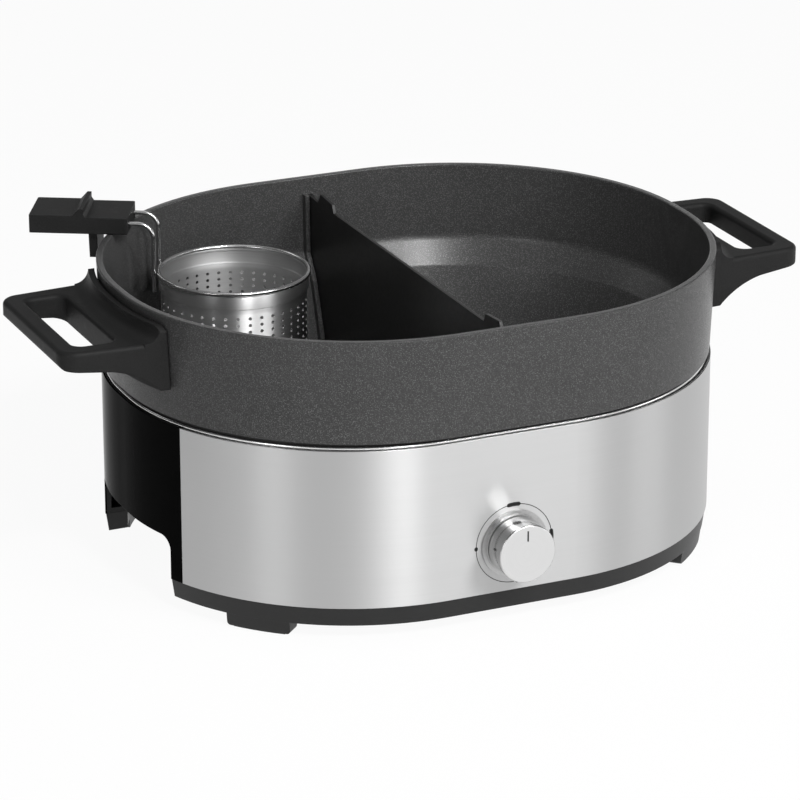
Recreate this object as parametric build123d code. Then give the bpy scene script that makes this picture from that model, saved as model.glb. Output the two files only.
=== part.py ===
from build123d import *
import os
from math import asin, atan2, cos, degrees, radians, sin, sqrt

os.makedirs("parts", exist_ok=True)

# Plan outlines: the pot rim and the heater base are rounded rectangles
RIM_LENGTH = 360.0
RIM_WIDTH = 302.0
RIM_FLAT = 12.0
RIM_CORNER = (RIM_WIDTH - RIM_FLAT) / 2
RIM_END = RIM_LENGTH / 2
RIM_SIDE = RIM_WIDTH / 2
BASE_END_INSET = 1.5
BASE_SIDE_INSET = 5.0
BASE_FLAT = 13.0
BASE_LENGTH = RIM_LENGTH - 2 * BASE_END_INSET
BASE_WIDTH = RIM_WIDTH - 2 * BASE_SIDE_INSET
BASE_CORNER = (BASE_WIDTH - BASE_FLAT) / 2

# Heights above the table
PAD_TOP = 1.0
RING_BOTTOM = 8.5
BAND_BOTTOM = 19.5
BAND_TOP = 113.1
LIP_TOP = 117.2
LEDGE_Z = 117.5
RIM_Z = 177.8

# Clearances, and how far a cutting block runs past what it cuts
CUT_OVER = 20.0
SEAT_GAP = 0.1
FIT_GAP = 0.3
SLIDE_GAP = 0.6
RUNNING_GAP = 0.05

# Pot section: inset from the rim outline, with its height
POT_WALL = 4.0
RIM_ROUND = 0.8
OUTER_DRAFT = 2.5
LEDGE_INNER = 10.4
SHOULDER_TOP_INSET = 5.2
SHOULDER_TOP_Z = 131.5
SHOULDER_LOW_INSET = 15.0
SHOULDER_LOW_Z = 116.2
FLOOR_INSET = 29.5
FLOOR_Z = 74.5
POT_BOTTOM_INSET = 26.6
POT_BOTTOM_Z = 70.5
FLOOR_STRIP = 44.0
SHOULDER_COVE = 9.0
SHOULDER_CREST = 6.0
FLOOR_COVE = 10.0
BOTTOM_ROUND = 8.0

# Cross wall and its cast guides
PLATE_THICKNESS = 2.0
GUIDE_WIDTH = 8.0
GUIDE_DEPTH = 4.6
GUIDE_ROOT = 1.0
GUIDE_TOP_Z = 167.5
FLOOR_GUIDE_HEIGHT = 4.0
PLATE_TOP_Z = 166.5
EAR_START_BACK = 45.0
EAR_SLOPE = 2.5
EAR_LOW_Z = 171.5
EAR_HIGH_Z = 172.8
EAR_END_BACK = 25.0
NOTCH_BACK = 20.5
PLATE_END_Z = 167.3

# Pot handles, set out from the end of the rim
HANDLE_OUT = 51.5
HANDLE_HALF = 54.0
HANDLE_SPLAY = 3.3
HANDLE_TOP_Z = 163.0
GRIP_WIDTH = 11.5
GRIP_TIP_Z = 152.5
GRIP_TIP_ROUND = 4.0
GRIP_MID_SHARE = 0.4466
GRIP_MID_Z = 149.5
ROOT_BACK = 4.5
ROOT_Z = 135.0
ROOT_ARC_SHARE = 0.2039
ROOT_ARC_Z = 145.5
HANDLE_BLANK_BACK = 30.0
OPENING_OUT = 16.0
ARM_WIDTH = 11.0
OPENING_ROUND = 6.0
FLANGE_RISE = 9.5
FLANGE_TOP_Z = HANDLE_TOP_Z + FLANGE_RISE
FLANGE_OUT = 4.6
FLANGE_ROUND = 8.0
FLANGE_WALL_GAP = 1.2
HANDLE_COVE = 8.0
HANDLE_CORNER = 11.0
HANDLE_EDGE = 2.6
LUG_OUT = 8.0
LUG_HALF = 15.0
LUG_LOW_Z = 147.5
LUG_HIGH_Z = 155.5
LUG_SCREW_BACK = 4.4
LUG_SCREW_Y = 8.0
LUG_SCREW_RADIUS = 2.0
LUG_SCREW_HEAD = 4.0
LUG_SCREW_HEAD_HEIGHT = 2.6
LUG_SCREW_SEAT_Z = 143.5
LUG_SCREW_TIP_Z = 153.5

# Base housing
BAND_THICKNESS = 1.0
END_PANEL_HALF = 62.5
PANEL_JOINT = 0.3
ARCH_HALF = 53.5
ARCH_TOP_Z = 44.5
ARCH_ROUND = 8.0
SHELL_WALL = 2.6
SHELL_TOP_Z = 107.5
SHELL_FOOT = 9.0
SHELL_FOOT_HEIGHT = 3.0
COVER_LEDGE = 9.0
COVER_LEDGE_HEIGHT = 3.0
COVER_FLANGE_Z = 46.0
COVER_FLANGE_HEIGHT = 2.5
RING_STEP = 0.4
RING_TAPER = 1.9
RING_INNER = 13.0
FOOT_ROOT = 2.0
FOOT_INNER = 12.4
FOOT_LENGTH = 38.5
FOOT_CORNER = 2.0
PAD_LENGTH = 31.0
PAD_OUTER = 4.6
PAD_INNER = 11.6
FRONT_FOOT_ANGLE = 44.0
REAR_FOOT_ARC = 29.8
RING_SCREW_INSET = 8.2
ARCH_SCREW_GAP = 8.5
RING_SCREW_RADIUS = 1.6
RING_SCREW_HEAD = 3.2
RING_SCREW_HEAD_HEIGHT = 2.4
RING_SCREW_SEAT_Z = 11.5
RING_SCREW_TIP_Z = 21.9

# Top collar and trim ring
TRIM_OUTER = 2.0
TRIM_WIDTH = 1.6
TRIM_ROUND = 1.2
TRIM_LOW_Z = 110.1
TRIM_TOP_Z = 114.9
LIP_OUTER = 3.8

# Bottom cover bowl
BOWL_END_INSET = 33.0
BOWL_SIDE_INSET = 12.0
BOWL_FLAT = 60.0
BOWL_LENGTH = BASE_LENGTH - 2 * BOWL_END_INSET
BOWL_WIDTH = BASE_WIDTH - 2 * BOWL_SIDE_INSET
BOWL_CORNER = (BOWL_WIDTH - BOWL_FLAT) / 2
BOWL_BOTTOM_Z = 10.5
BOWL_WALL = 2.5
BOWL_ROUND = 25.0
POST_RADIUS = 4.0
POST_X = 78.0
POST_Y = 56.0
VENT_COUNT = 9
VENT_PITCH = 13.0
VENT_LENGTH = 46.0
VENT_WIDTH = 4.0
COVER_SCREW_INSET = 8.4
COVER_SCREW_HEAD_HEIGHT = 2.2
NOTCH_HALF = 24.0
NOTCH_MARGIN = 1.4

# Heater
TRAY_Z = 56.5
TRAY_SHEET = 1.2
TRAY_INSET = 32.0
TRAY_RIM_Z = 63.5
TUBE_RADIUS = 3.3
TUBE_INSET = 56.0
TUBE_END_X = 7.0
TUBE_LEG_Z = 41.5
LEG_HOLE_GAP = 1.0
CLIP_SIZE = 9.0

# Temperature control and knob
KNOB_Z = 47.6
KNOB_REACH = 18.0
KNOB_RADIUS = 17.1
KNOB_BEVEL = 1.0
KNOB_WALL = 2.2
KNOB_LIFT = 3.4
HUB_RADIUS = 6.0
SHAFT_RADIUS = 3.0
SHAFT_TOP_GAP = 3.0
SHAFT_BACK_WALL = 5.2
POINTER_WIDTH = 1.0
POINTER_LOW = 7.5
POINTER_HIGH = 13.8
POINTER_DEPTH = 0.4
BEZEL_RADIUS = 20.0
BEZEL_HEIGHT = 2.8
BEZEL_STEP = 2.2
BEZEL_STEP_HEIGHT = 1.4
BUSH_RADIUS = 5.0
THERMOSTAT_RADIUS = 12.5
THERMOSTAT_DEPTH = 20.0
BRACKET_HALF = 21.0
BRACKET_HEIGHT_HALF = 11.0
BRACKET_SHEET = 1.5
BRACKET_SCREW_X = 17.0
BRACKET_SCREW_RADIUS = 1.5
BRACKET_SCREW_HEAD = 3.0
BRACKET_SCREW_HEAD_HEIGHT = 2.0
BRACKET_SCREW_REACH = 2.0

# Small electrical pieces
BLOCK_X = -20.0
BLOCK_Y = 62.0
BLOCK_LENGTH = 40.0
BLOCK_WIDTH = 22.0
BLOCK_HEIGHT = 16.0
BLOCK_WELLS = 3
BLOCK_WELL_RADIUS = 3.0
BLOCK_WELL_DEPTH = 9.0
FUSE_X = 30.0
FUSE_RADIUS = 3.5
FUSE_LENGTH = 26.0
STRAP_SHEET = 0.8
STRAP_WIDTH = 12.0
STRAP_TAB = 8.0
GLAND_Z = 63.5
GLAND_FLANGE = 11.0
GLAND_FLANGE_HEIGHT = 3.0
GLAND_NECK = 7.5
GLAND_BORE = 4.0
GLAND_TAIL = 10.0

# Hanging basket
HANG_ANGLE = 43.3
HANG_REACH = 69.5
BASKET_BEARING = 28.8
CUP_RIM_Z = 153.5
CUP_RIM_RADIUS = 45.7
CUP_BEAD = 1.4
CUP_TOP_RADIUS = 44.3
CUP_LOW_RADIUS = 43.2
CUP_SHEET = 1.0
CUP_HEIGHT = 52.0
CUP_BAND = 11.5
CUP_BAND_STEP = 1.5
CUP_FLOOR_ROUND = 4.0
HOLE_RADIUS = 1.2
HOLE_COLUMNS = 24
HOLE_ROWS = 6
HOLE_TOP = 17.0
HOLE_PITCH = 5.4
WIRE_RADIUS = 1.25
WIRE_SPREAD = 10.6
WIRE_BEND = 9.0
WIRE_Z = 182.9
WIRE_LOW_Z = 141.5
WIRE_IN_GRIP = 22.0
GRIP_START = 60.1
GRIP_END = 118.0
GRIP_BREADTH = 35.0
GRIP_LOW_Z = 178.1
GRIP_OUTER_HEIGHT = 10.6
GRIP_INNER_HEIGHT = 9.7
RIB_HEIGHT = 15.0
RIB_OUTER_FOOT = 25.6
RIB_OUTER_TOP = 29.6
RIB_INNER_TOP = 32.0
RIB_INNER_FOOT = 33.4
RIB_FILLET_RISE = 2.0
GRIP_EDGE = 1.2
TAB_START = 78.5
TAB_END = 83.5
TAB_HALF = 14.0
TAB_LOW_HALF = 11.0
TAB_LOW_Z = 161.8

# The frame's origin is under the middle of the whole outline
REAR_REACH = RIM_SIDE
FRONT_REACH = BASE_WIDTH / 2 + KNOB_REACH
CENTRE_SHIFT_Y = (FRONT_REACH - REAR_REACH) / 2


def bar(x0, x1, y0, y1, z0, z1):
    """Block between two limits on each axis."""
    block = Box(x1 - x0, y1 - y0, z1 - z0)
    return Pos((x0 + x1) / 2, (y0 + y1) / 2, (z0 + z1) / 2) * block


def rod_z(x, y, radius, z0, z1):
    """Upright rod."""
    return Pos(x, y, (z0 + z1) / 2) * Cylinder(radius, z1 - z0)


def rod_y(x, z, radius, y0, y1):
    """Rod along the depth of the object."""
    return Pos(x, (y0 + y1) / 2, z) * (Rot(90, 0, 0) * Cylinder(radius, y1 - y0))


def rim_plan(inset, z):
    """Rim outline drawn inward by inset, as a face."""
    face = RectangleRounded(RIM_LENGTH - 2 * inset, RIM_WIDTH - 2 * inset, RIM_CORNER - inset)
    return Pos(0, 0, z) * face


def base_plan(inset, z):
    """Base outline drawn inward by inset, as a face."""
    face = RectangleRounded(BASE_LENGTH - 2 * inset, BASE_WIDTH - 2 * inset, BASE_CORNER - inset)
    return Pos(0, 0, z) * face


def base_ring(outer_inset, inner_inset, low, high):
    """Upright ring that follows the base outline."""
    return extrude(base_plan(outer_inset, low) - base_plan(inner_inset, low), high - low)


def plan_path(length, width, corner, z):
    """Closed path round a rounded rectangle, starting at the middle of the front."""
    half_x = length / 2
    half_y = width / 2
    run_x = half_x - corner
    run_y = half_y - corner
    edges = [
        Line((0, -half_y), (run_x, -half_y)),
        CenterArc((run_x, -run_y), corner, -90, 90),
        Line((half_x, -run_y), (half_x, run_y)),
        CenterArc((run_x, run_y), corner, 0, 90),
        Line((run_x, half_y), (-run_x, half_y)),
        CenterArc((-run_x, run_y), corner, 90, 90),
        Line((-half_x, run_y), (-half_x, -run_y)),
        CenterArc((-run_x, -run_y), corner, 180, 90),
        Line((-run_x, -half_y), (0, -half_y)),
    ]
    return Pos(0, 0, z) * Wire([edge.edge() for edge in edges])


def section_plane(width):
    """Plane of a wall section at the middle of the front: first axis inward, second up."""
    return Plane(origin=(0, -width / 2, 0), x_dir=(0, 1, 0), z_dir=(1, 0, 0))


def wall_inset(z):
    """Inset of the pot's inner face from the rim outline at a height."""
    if z >= SHOULDER_TOP_Z:
        share = (RIM_Z - z) / (RIM_Z - SHOULDER_TOP_Z)
        return POT_WALL + share * (SHOULDER_TOP_INSET - POT_WALL)
    if z >= SHOULDER_LOW_Z:
        share = (SHOULDER_TOP_Z - z) / (SHOULDER_TOP_Z - SHOULDER_LOW_Z)
        return SHOULDER_TOP_INSET + share * (SHOULDER_LOW_INSET - SHOULDER_TOP_INSET)
    share = (SHOULDER_LOW_Z - z) / (SHOULDER_LOW_Z - FLOOR_Z)
    return SHOULDER_LOW_INSET + share * (FLOOR_INSET - SHOULDER_LOW_INSET)


def wall_y(z):
    """Distance of the pot's inner face from the middle, at the front and back, at a height."""
    return RIM_SIDE - wall_inset(z)


def near(points, spot):
    """The vertex of a section that lies on a spot."""
    return points.sort_by_distance(spot)[0]


# Cast pot: one stepped wall section swept round the rim, with a floor slab inside it
rim_outer = (0, RIM_Z)
rim_inner = (POT_WALL, RIM_Z)
shoulder_top = (SHOULDER_TOP_INSET, SHOULDER_TOP_Z)
shoulder_low = (SHOULDER_LOW_INSET, SHOULDER_LOW_Z)
floor_edge = (FLOOR_INSET, FLOOR_Z)
bottom_edge = (POT_BOTTOM_INSET, POT_BOTTOM_Z)
section_points = [
    rim_outer,
    rim_inner,
    shoulder_top,
    shoulder_low,
    floor_edge,
    (FLOOR_STRIP, FLOOR_Z),
    (FLOOR_STRIP, POT_BOTTOM_Z),
    bottom_edge,
    (LEDGE_INNER, LEDGE_Z),
    (OUTER_DRAFT, LEDGE_Z),
]
section_rounds = [
    (rim_outer, RIM_ROUND),
    (rim_inner, RIM_ROUND),
    (shoulder_top, SHOULDER_COVE),
    (shoulder_low, SHOULDER_CREST),
    (floor_edge, FLOOR_COVE),
    (bottom_edge, BOTTOM_ROUND),
]
wall_section = make_face(Polyline(section_points, close=True))
for corner_point, corner_round in section_rounds:
    corner_vertex = near(wall_section.vertices(), corner_point + (0,))
    wall_section = fillet(corner_vertex, corner_round)
rim_path = plan_path(RIM_LENGTH, RIM_WIDTH, RIM_CORNER, 0)
pot_wall = sweep(section_plane(RIM_WIDTH) * wall_section, path=rim_path)
pot_floor = extrude(rim_plan(FLOOR_STRIP - GUIDE_ROOT, POT_BOTTOM_Z), FLOOR_Z - POT_BOTTOM_Z)
pot = pot_wall + pot_floor

# Cast guides for the cross wall, on the front and back walls and across the floor
guide_heights = [FLOOR_Z, SHOULDER_LOW_Z, SHOULDER_TOP_Z, GUIDE_TOP_Z]
guide_outer = [(wall_y(z) + GUIDE_ROOT, z) for z in guide_heights]
guide_inner = [(wall_y(z) - GUIDE_DEPTH, z) for z in reversed(guide_heights)]
guide_root_z = FLOOR_Z - GUIDE_ROOT
guide_face = make_face(Polyline(guide_outer + guide_inner, close=True))
guide_solid = extrude(Plane.YZ * guide_face, GUIDE_WIDTH / 2, both=True)
floor_guide_half = RIM_SIDE - FLOOR_INSET
floor_guide = bar(-GUIDE_WIDTH / 2, GUIDE_WIDTH / 2, -floor_guide_half, floor_guide_half,
                  guide_root_z, FLOOR_Z + FLOOR_GUIDE_HEIGHT)
slot_half = PLATE_THICKNESS / 2 + FIT_GAP
slot_heights = [FLOOR_Z, SHOULDER_LOW_Z, SHOULDER_TOP_Z, RIM_Z]
slot_right = [(wall_y(z), z) for z in slot_heights]
slot_left = [(-y, z) for y, z in reversed(slot_right)]
slot_face = make_face(Polyline(slot_right + slot_left, close=True))
slot = extrude(Plane.YZ * slot_face, slot_half, both=True)
guides = guide_solid + mirror(guide_solid, about=Plane.XZ) + floor_guide - slot
pot = pot + guides

# Cast lugs that carry the handles
lug_reach = RIM_END + LUG_OUT
lug_screw_x = lug_reach - LUG_SCREW_BACK
blank_x = RIM_END - HANDLE_BLANK_BACK
lug_hole = LUG_SCREW_RADIUS + RUNNING_GAP
lug_blank = bar(blank_x, lug_reach, -LUG_HALF, LUG_HALF, LUG_LOW_Z, LUG_HIGH_Z)
pot_inside = extrude(rim_plan(POT_WALL / 2, LUG_LOW_Z), LUG_HIGH_Z - LUG_LOW_Z)
lug = lug_blank - pot_inside
for side_y in (-LUG_SCREW_Y, LUG_SCREW_Y):
    lug = lug - rod_z(lug_screw_x, side_y, lug_hole, LUG_LOW_Z, LUG_SCREW_TIP_Z)
pot = pot + lug + mirror(lug, about=Plane.YZ)

# Removable cross wall with an ear at each end
plate_low_z = FLOOR_Z + FIT_GAP
cove_z = FLOOR_Z + FLOOR_COVE
ear_start = RIM_SIDE - EAR_START_BACK
plate_half = [
    (wall_y(plate_low_z) - SLIDE_GAP - FLOOR_COVE, plate_low_z),
    (wall_y(cove_z) - SLIDE_GAP, cove_z),
    (wall_y(SHOULDER_LOW_Z) - 2 * SLIDE_GAP, SHOULDER_LOW_Z),
    (wall_y(SHOULDER_TOP_Z) - SLIDE_GAP - GUIDE_DEPTH / 2, SHOULDER_TOP_Z),
    (wall_y(PLATE_END_Z) - SLIDE_GAP, PLATE_END_Z),
    (RIM_SIDE - NOTCH_BACK, PLATE_TOP_Z),
    (RIM_SIDE - EAR_END_BACK, EAR_HIGH_Z),
    (ear_start + EAR_SLOPE, EAR_LOW_Z),
    (ear_start, PLATE_TOP_Z),
]
plate_outline = plate_half + [(-y, z) for y, z in reversed(plate_half)]
plate_face = make_face(Polyline(plate_outline, close=True))
divider_plate = extrude(Plane.YZ * plate_face, PLATE_THICKNESS / 2, both=True)

# Pot handle: splayed arms and an open grip, seen from the side and from above
handle_reach = RIM_END + HANDLE_OUT
opening_start = RIM_END + OPENING_OUT
opening_end = handle_reach - GRIP_WIDTH
opening_half = HANDLE_HALF - ARM_WIDTH
root_x = RIM_END - ROOT_BACK
grip_mid = (RIM_END + GRIP_MID_SHARE * HANDLE_OUT, GRIP_MID_Z)
root_arc = (RIM_END + ROOT_ARC_SHARE * HANDLE_OUT, ROOT_ARC_Z)
grip_tip = (handle_reach, GRIP_TIP_Z)
blank_half = HANDLE_HALF + HANDLE_SPLAY * (HANDLE_OUT + HANDLE_BLANK_BACK) / HANDLE_OUT
handle_arc = ThreePointArc((root_x, ROOT_Z), root_arc, grip_mid)
handle_line = Polyline([
    grip_mid,
    grip_tip,
    (handle_reach, FLANGE_TOP_Z),
    (blank_x, FLANGE_TOP_Z),
    (blank_x, ROOT_Z),
    (root_x, ROOT_Z),
])
handle_face = make_face(handle_arc.edges() + handle_line.edges())
handle_face = fillet(near(handle_face.vertices(), grip_tip + (0,)), GRIP_TIP_ROUND)
handle_side = extrude(Plane.XZ * handle_face, 2 * HANDLE_HALF, both=True)
arm_plan = make_face(Polyline([
    (blank_x, -blank_half),
    (handle_reach, -HANDLE_HALF),
    (handle_reach, HANDLE_HALF),
    (blank_x, blank_half),
], close=True))
arm_plan = fillet(arm_plan.vertices().group_by(Axis.X)[-1], HANDLE_CORNER)
arm_block = extrude(Pos(0, 0, ROOT_Z) * arm_plan, HANDLE_TOP_Z - ROOT_Z)
arm_block = fillet(arm_block.faces().sort_by(Axis.Z)[-1].edges(), HANDLE_EDGE)
opening_plan = RectangleRounded(opening_end - opening_start, 2 * opening_half, OPENING_ROUND)
opening_place = Pos((opening_start + opening_end) / 2, 0, ROOT_Z)
handle = (handle_side & arm_block) - extrude(opening_place * opening_plan, HANDLE_TOP_Z - ROOT_Z)
opening_edges = [
    edge for edge in handle.edges()
    if abs(edge.center().Z - HANDLE_TOP_Z) < FIT_GAP
    and opening_start - FIT_GAP < edge.center().X < opening_end + FIT_GAP
    and abs(edge.center().Y) < opening_half + FIT_GAP
]
handle = fillet(opening_edges, HANDLE_EDGE)

# Flange with rounded ends that stands off the drafted wall, and the cove below it
flange_height = FLANGE_TOP_Z - ROOT_Z
flange_prism = extrude(Pos(0, 0, ROOT_Z) * arm_plan, flange_height)
end_plan = RectangleRounded(2 * blank_half, 2 * flange_height, FLANGE_ROUND)
end_shape = extrude(Plane.YZ * (Pos(0, ROOT_Z) * end_plan), handle_reach)
flange_block = extrude(rim_plan(-FLANGE_OUT, ROOT_Z), flange_height) & flange_prism
cove_z_low = HANDLE_TOP_Z - HANDLE_EDGE
cove_prism = extrude(Pos(0, 0, cove_z_low) * arm_plan, FLANGE_TOP_Z - cove_z_low)
cove_band = extrude(rim_plan(-FLANGE_OUT - HANDLE_COVE, ROOT_Z), flange_height) & cove_prism
cove_half = blank_half + CUT_OVER
cove_block = bar(blank_x, handle_reach + CUT_OVER, -cove_half, cove_half,
                 HANDLE_TOP_Z, FLANGE_TOP_Z + CUT_OVER)
cove_block = cove_block - extrude(rim_plan(-FLANGE_OUT, HANDLE_TOP_Z - CUT_OVER), 3 * CUT_OVER)
cove_edges = [
    edge for edge in cove_block.edges()
    if abs(edge.center().Z - HANDLE_TOP_Z) < FIT_GAP
    and edge.center().X < opening_start
    and abs(edge.center().Y) < blank_half
]
flange = (flange_block + (cove_band - fillet(cove_edges, HANDLE_COVE))) & end_shape
handle = handle + flange
outside_low = rim_plan(OUTER_DRAFT - FLANGE_WALL_GAP, LEDGE_Z)
outside_high = rim_plan(-FLANGE_WALL_GAP, RIM_Z)
pot_outside = loft([outside_low, outside_high], ruled=True)
handle = handle - pot_outside
handle = handle - bar(blank_x, lug_reach + SEAT_GAP, -LUG_HALF - SEAT_GAP, LUG_HALF + SEAT_GAP,
                      LUG_LOW_Z - SEAT_GAP, LUG_HIGH_Z + SEAT_GAP)
screws = []
head_low = LUG_SCREW_SEAT_Z - LUG_SCREW_HEAD_HEIGHT
for side_y in (-LUG_SCREW_Y, LUG_SCREW_Y):
    handle = handle - rod_z(lug_screw_x, side_y, lug_hole, ROOT_Z, LUG_LOW_Z)
    handle = handle - rod_z(lug_screw_x, side_y, LUG_SCREW_HEAD + FIT_GAP, ROOT_Z, LUG_SCREW_SEAT_Z)
    screw_head = rod_z(lug_screw_x, side_y, LUG_SCREW_HEAD, head_low, LUG_SCREW_SEAT_Z)
    screw_shank = rod_z(lug_screw_x, side_y, LUG_SCREW_RADIUS, LUG_SCREW_SEAT_Z, LUG_SCREW_TIP_Z)
    screws.append(screw_head + screw_shank)
right_pot_handle = handle
left_pot_handle = mirror(handle, about=Plane.YZ)
handle_screws = Compound(screws + [mirror(screw, about=Plane.YZ) for screw in screws])

# Base outline arcs: centres of the four corner arcs
RUN_X = BASE_LENGTH / 2 - BASE_CORNER
RUN_Y = BASE_WIDTH / 2 - BASE_CORNER
ARCH_DEPTH = 3 * ARCH_TOP_Z
ARCH_SCREW_SHARE = (ARCH_HALF + ARCH_SCREW_GAP - RUN_Y) / (BASE_CORNER - RING_SCREW_INSET)
SIDE_SCREW_ANGLE = 65.0
END_SCREW_ANGLE = degrees(asin(ARCH_SCREW_SHARE))
SCREW_ANGLES = (END_SCREW_ANGLE, SIDE_SCREW_ANGLE)
REAR_FOOT_ANGLE = END_SCREW_ANGLE + degrees(REAR_FOOT_ARC / (BASE_CORNER - RING_SCREW_INSET))
CLIP_ANGLES = (45.0,)


def corner_spots(inset, angles):
    """Points on the four corner arcs of the base outline, drawn inward by inset."""
    spots = []
    for side_x in (1, -1):
        for side_y in (1, -1):
            for angle in angles:
                reach = BASE_CORNER - inset
                spots.append((side_x * (RUN_X + reach * cos(radians(angle))),
                              side_y * (RUN_Y + reach * sin(radians(angle)))))
    return spots


arch_plan = Pos(0, ARCH_TOP_Z - ARCH_DEPTH / 2) * RectangleRounded(2 * ARCH_HALF, ARCH_DEPTH, ARCH_ROUND)
arch = extrude(Plane.YZ * arch_plan, BASE_LENGTH, both=True)
end_zone = bar(-BASE_LENGTH, BASE_LENGTH, -END_PANEL_HALF, END_PANEL_HALF, 0, BAND_TOP)
PANEL_Y = -BASE_WIDTH / 2

# Bottom ring with four feet, parted into a front and a rear half by the end arches
base_path = plan_path(BASE_LENGTH, BASE_WIDTH, BASE_CORNER, 0)
ring_section = make_face(Polyline([
    (RING_STEP, BAND_BOTTOM),
    (RING_INNER, BAND_BOTTOM),
    (RING_INNER, RING_BOTTOM),
    (RING_TAPER, RING_BOTTOM),
], close=True))
ring_slope = (RING_TAPER - RING_STEP) / (BAND_BOTTOM - RING_BOTTOM)
foot_root_z = RING_BOTTOM + FOOT_ROOT
foot_low_inset = RING_TAPER + ring_slope * (RING_BOTTOM - PAD_TOP)
foot_section = make_face(Polyline([
    (RING_TAPER - ring_slope * FOOT_ROOT + RUNNING_GAP, foot_root_z),
    (FOOT_INNER, foot_root_z),
    (FOOT_INNER, PAD_TOP),
    (foot_low_inset + RUNNING_GAP, PAD_TOP),
], close=True))
lower_ring = sweep(section_plane(BASE_WIDTH) * ring_section, path=base_path) - arch
foot_ring = sweep(section_plane(BASE_WIDTH) * foot_section, path=base_path)
pad_ring = base_ring(PAD_OUTER, PAD_INNER, 0, PAD_TOP)
foot_height = 2 * (foot_root_z - PAD_TOP)
foot_block = Pos(0, 0, foot_root_z) * Box(BASE_CORNER, FOOT_LENGTH, foot_height)
foot_block = fillet(foot_block.edges().filter_by(Axis.X).group_by(Axis.Z)[0], FOOT_CORNER)
pad_block = Box(BASE_CORNER, PAD_LENGTH, foot_height)
pads = []
for side_x in (1, -1):
    for side_y, foot_angle in ((-1, FRONT_FOOT_ANGLE), (1, REAR_FOOT_ANGLE)):
        turn = degrees(atan2(side_y * sin(radians(foot_angle)), side_x * cos(radians(foot_angle))))
        place = Pos(side_x * RUN_X, side_y * RUN_Y, 0) * Rot(0, 0, turn) * Pos(BASE_CORNER, 0, 0)
        lower_ring = lower_ring + (foot_ring & (place * foot_block))
        pads.append(pad_ring & (place * pad_block))
foot_pads = Compound([pad.solid() for pad in pads])
ring_screw_list = []
ring_hole = RING_SCREW_RADIUS + RUNNING_GAP
ring_head_low = RING_SCREW_SEAT_Z - RING_SCREW_HEAD_HEIGHT
for spot_x, spot_y in corner_spots(RING_SCREW_INSET, SCREW_ANGLES):
    head_pocket = rod_z(spot_x, spot_y, RING_SCREW_HEAD + FIT_GAP, RING_BOTTOM, RING_SCREW_SEAT_Z)
    lower_ring = lower_ring - head_pocket - rod_z(spot_x, spot_y, ring_hole, RING_BOTTOM, BAND_BOTTOM)
    head = rod_z(spot_x, spot_y, RING_SCREW_HEAD, ring_head_low, RING_SCREW_SEAT_Z)
    shank = rod_z(spot_x, spot_y, RING_SCREW_RADIUS, RING_SCREW_SEAT_Z, RING_SCREW_TIP_Z)
    ring_screw_list.append(head + shank)
ring_screws = Compound([screw.solid() for screw in ring_screw_list])
front_ring, rear_ring = lower_ring.solids().sort_by(Axis.Y)

# Brushed steel panels at front and rear, gloss panels with the arch at the ends
band = base_ring(0, BAND_THICKNESS, BAND_BOTTOM, BAND_TOP)
half_space = bar(-BASE_LENGTH, BASE_LENGTH, -BASE_WIDTH, 0, 0, RIM_Z)
steel = band - end_zone
front_panel = steel & half_space
front_panel = front_panel - rod_y(0, KNOB_Z, BUSH_RADIUS + FIT_GAP, PANEL_Y - CUT_OVER, PANEL_Y + CUT_OVER)
rear_panel = steel - half_space
rear_panel = rear_panel - rod_y(0, GLAND_Z, GLAND_NECK + FIT_GAP, -PANEL_Y - CUT_OVER, -PANEL_Y + CUT_OVER)
end_joint = END_PANEL_HALF - PANEL_JOINT
end_band = band & bar(-BASE_LENGTH, BASE_LENGTH, -end_joint, end_joint, 0, BAND_TOP)
end_band = end_band - arch
right_end_panel = end_band & bar(0, BASE_LENGTH, -BASE_WIDTH, BASE_WIDTH, 0, RIM_Z)
left_end_panel = mirror(right_end_panel, about=Plane.YZ)

# Inner shell behind the panels: wall, foot flange and the ledge for the bottom cover
shell_outer = BAND_THICKNESS + SEAT_GAP
shell_inner = shell_outer + SHELL_WALL
ledge_z = COVER_FLANGE_Z + COVER_FLANGE_HEIGHT
inner_shell = base_ring(shell_outer, shell_inner, BAND_BOTTOM, SHELL_TOP_Z)
inner_shell = inner_shell + base_ring(shell_outer, shell_inner + SHELL_FOOT, BAND_BOTTOM,
                                      BAND_BOTTOM + SHELL_FOOT_HEIGHT)
inner_shell = inner_shell + base_ring(shell_outer, shell_inner + COVER_LEDGE, ledge_z,
                                      ledge_z + COVER_LEDGE_HEIGHT)
inner_shell = inner_shell - arch
notch_low = KNOB_Z - THERMOSTAT_RADIUS - NOTCH_MARGIN
notch_high = KNOB_Z + THERMOSTAT_RADIUS + NOTCH_MARGIN
notch_start = PANEL_Y + shell_inner
notch_end = notch_start + THERMOSTAT_DEPTH + CUT_OVER
notch = bar(-NOTCH_HALF, NOTCH_HALF, notch_start, notch_end, notch_low, notch_high)
inner_shell = inner_shell - notch
inner_shell = inner_shell - rod_y(0, KNOB_Z, BUSH_RADIUS + FIT_GAP, PANEL_Y, PANEL_Y + CUT_OVER)
inner_shell = inner_shell - rod_y(0, GLAND_Z, GLAND_NECK + FIT_GAP, -PANEL_Y - CUT_OVER, -PANEL_Y)
for side_x in (-BRACKET_SCREW_X, BRACKET_SCREW_X):
    inner_shell = inner_shell - rod_y(side_x, KNOB_Z, BRACKET_SCREW_RADIUS + RUNNING_GAP,
                                      PANEL_Y + shell_inner - BRACKET_SCREW_REACH, PANEL_Y + shell_inner)
for spot_x, spot_y in corner_spots(RING_SCREW_INSET, SCREW_ANGLES):
    inner_shell = inner_shell - rod_z(spot_x, spot_y, ring_hole, BAND_BOTTOM, RING_SCREW_TIP_Z)
cover_screw_tip = ledge_z + COVER_LEDGE_HEIGHT - SEAT_GAP
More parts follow.
